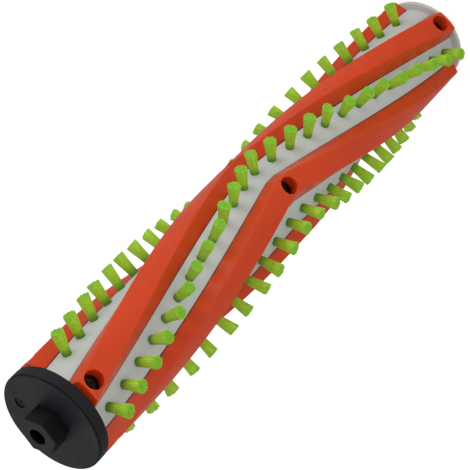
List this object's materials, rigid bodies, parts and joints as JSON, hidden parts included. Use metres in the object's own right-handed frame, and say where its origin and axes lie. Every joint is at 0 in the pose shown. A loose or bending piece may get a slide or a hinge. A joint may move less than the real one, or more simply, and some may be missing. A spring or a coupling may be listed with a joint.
{
  "type": "vacuum roller brush",
  "caption": "Vacuum cleaner roller brush: a pale drum with orange chevron beater strips, rows of green bristle tufts and a black bearing cap with a keyed boss.",
  "frame": {"origin": "centre of the drive end's face, on which the roller stands", "axes": "+Z runs along the roller's axis from the drive end to the bearing cap; +X points out of the side that the picture shows"},
  "size_m": [0.0548, 0.0548, 0.2919],
  "materials": {
    "drum_plastic": "satin pale grey moulding",
    "insert_plastic": "satin black moulding",
    "strip_plastic": "semi-gloss orange moulding",
    "screw_steel": "blackened steel",
    "bristle": "lime green nylon filament",
    "bearing_steel": "ground steel",
    "ball_steel": "polished steel",
    "cage_plastic": "nylon",
    "cap_plastic": "satin charcoal moulding"
  },
  "bodies": {
    "roller": {"roller_core": "drum_plastic", "drive_insert": "insert_plastic", "beater_strip_1": "strip_plastic", "beater_strip_2": "strip_plastic", "beater_strip_3": "strip_plastic", "beater_strip_4": "strip_plastic", "strip_screws": "screw_steel", "tuft_row_1": "bristle", "tuft_row_2": "bristle", "tuft_row_3": "bristle", "tuft_row_4": "bristle", "axle": "bearing_steel", "retaining_ring": "bearing_steel", "bearing_inner_ring": "bearing_steel"},
    "end_cap": {"bearing_cap": "cap_plastic", "bearing_outer_ring": "bearing_steel", "bearing_balls": "ball_steel", "bearing_cage": "cage_plastic", "bearing_shield_drum_side": "bearing_steel", "bearing_shield_cap_side": "bearing_steel"}
  },
  "joints": [
    {"name": "cap_spin", "type": "hinge", "parent": "roller", "child": "end_cap", "pos_m": [0, 0, 0.2788], "axis": [0, 0, 1], "continuous": true}
  ]
}
